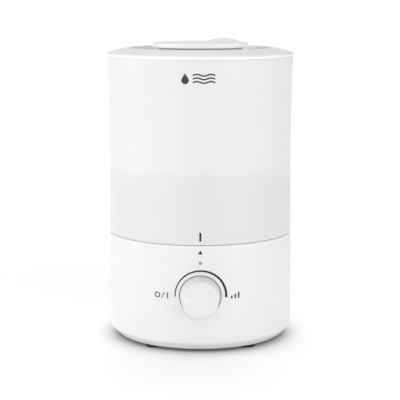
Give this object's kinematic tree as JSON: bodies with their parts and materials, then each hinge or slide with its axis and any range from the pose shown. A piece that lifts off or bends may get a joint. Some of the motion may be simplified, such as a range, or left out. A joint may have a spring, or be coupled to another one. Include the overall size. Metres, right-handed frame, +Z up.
{
  "type": "cool mist humidifier",
  "caption": "Round table-top cool mist humidifier: white base with a front dial, frosted lift-off water tank, domed lift-off lid and a turning mist nozzle.",
  "frame": {"origin": "on the floor under the feet, at the centre of the footprint with the knob included; the round body's own axis stands 7.9 mm behind it", "axes": "+Z up, -Y towards the front dial, +X to the right as seen from the front"},
  "size_m": [0.1718, 0.187, 0.2769],
  "materials": {
    "shell_white": "fine satin",
    "cover_white": "moulded matte",
    "foot_rubber": "matte",
    "screw_steel": "zinc plated",
    "basin_white": "semi gloss",
    "seal_silicone": "matte silicone",
    "bracket_grey": "moulded matte",
    "pot_metal": "stamped",
    "board_green": "solder mask",
    "led_body": "clear epoxy",
    "light_guide": "clear",
    "sink_aluminium": "extruded",
    "chip_black": "moulded epoxy",
    "capacitor_sleeve": "shrink sleeve",
    "coil_copper": "enamelled wire",
    "connector_white": "moulded",
    "jack_black": "moulded",
    "fan_black": "moulded",
    "duct_grey": "moulded matte",
    "piezo_steel": "lapped",
    "clamp_brass": "satin",
    "float_orange": "foamed plastic",
    "magnet_dark": "sintered",
    "wire_red": "insulation",
    "wire_black": "insulation",
    "wire_grey": "insulation",
    "knob_white": "fine satin",
    "shaft_steel": "turned",
    "tank_frosted": "frosted",
    "tank_inner_frosted": "frosted",
    "valve_white": "moulded",
    "spring_steel": "drawn wire",
    "lid_white": "fine satin",
    "nozzle_white": "satin gloss"
  },
  "bodies": {
    "base": {"base_shell": "shell_white", "bottom_cover": "cover_white", "rubber_feet": "foot_rubber", "bottom_screws": "screw_steel", "basin_tray": "basin_white", "basin_gasket": "seal_silicone", "basin_screws": "screw_steel", "control_bracket": "bracket_grey", "bracket_screws": "screw_steel", "potentiometer_body": "pot_metal", "control_board": "board_green", "indicator_led": "led_body", "light_pipe": "light_guide", "main_board": "board_green", "board_screws": "screw_steel", "heat_sink": "sink_aluminium", "power_transistor": "chip_black", "board_capacitors": "capacitor_sleeve", "board_inductor": "coil_copper", "board_connectors": "connector_white", "dc_jack": "jack_black", "jack_pin": "shaft_steel", "fan_housing": "fan_black", "fan_screws": "screw_steel", "air_duct": "duct_grey", "transducer_disc": "piezo_steel", "transducer_seal": "seal_silicone", "transducer_clamp": "clamp_brass", "transducer_screws": "screw_steel", "reed_switch": "chip_black", "float_cap": "valve_white", "inlet_wires": "wire_red", "fan_wires": "wire_black", "transducer_wires": "wire_grey", "control_wires": "wire_grey"},
    "fan_rotor": {"fan_impeller": "fan_black"},
    "knob": {"control_knob": "knob_white", "pot_shaft": "shaft_steel"},
    "float": {"float_ring": "float_orange", "float_magnet": "magnet_dark"},
    "tank": {"tank_shell": "tank_frosted", "tank_floor": "tank_inner_frosted", "mist_chimney": "tank_inner_frosted", "valve_cap": "valve_white", "valve_spring": "spring_steel"},
    "valve": {"valve_plunger": "valve_white", "valve_washer": "seal_silicone"},
    "lid": {"lid_shell": "lid_white", "lid_seal": "seal_silicone"},
    "nozzle": {"nozzle_disc": "nozzle_white", "nozzle_base": "nozzle_white"}
  },
  "joints": [
    {"name": "fan_spin", "type": "hinge", "parent": "base", "child": "fan_rotor", "pos_m": [-0.038, 0.0199, 0.018], "axis": [0, 0, 1], "continuous": true},
    {"name": "knob_turn", "type": "hinge", "parent": "base", "child": "knob", "pos_m": [0, -0.0771, 0.0532], "axis": [0, 1, 0], "range_deg": [0, 180]},
    {"name": "float_rise", "type": "slide", "parent": "base", "child": "float", "axis": [0, 0, 1], "range_m": [0, 0.007]},
    {"name": "tank_lift", "type": "slide", "parent": "base", "child": "tank", "axis": [0, 0, 1], "range_m": [0, 0.12]},
    {"name": "lid_lift", "type": "slide", "parent": "tank", "child": "lid", "axis": [0, 0, 1], "range_m": [0, 0.06]},
    {"name": "nozzle_turn", "type": "hinge", "parent": "lid", "child": "nozzle", "pos_m": [0, 0.0079, 0.26], "axis": [0, 0, 1], "continuous": true},
    {"name": "valve_close", "type": "slide", "parent": "tank", "child": "valve", "axis": [0, 0, 1], "range_m": [-0.0018, 0], "deforming": ["valve_spring"]}
  ],
  "couplings": [
    {"joint": "valve_close", "follows": "tank_lift", "ratio": -0.015}
  ]
}
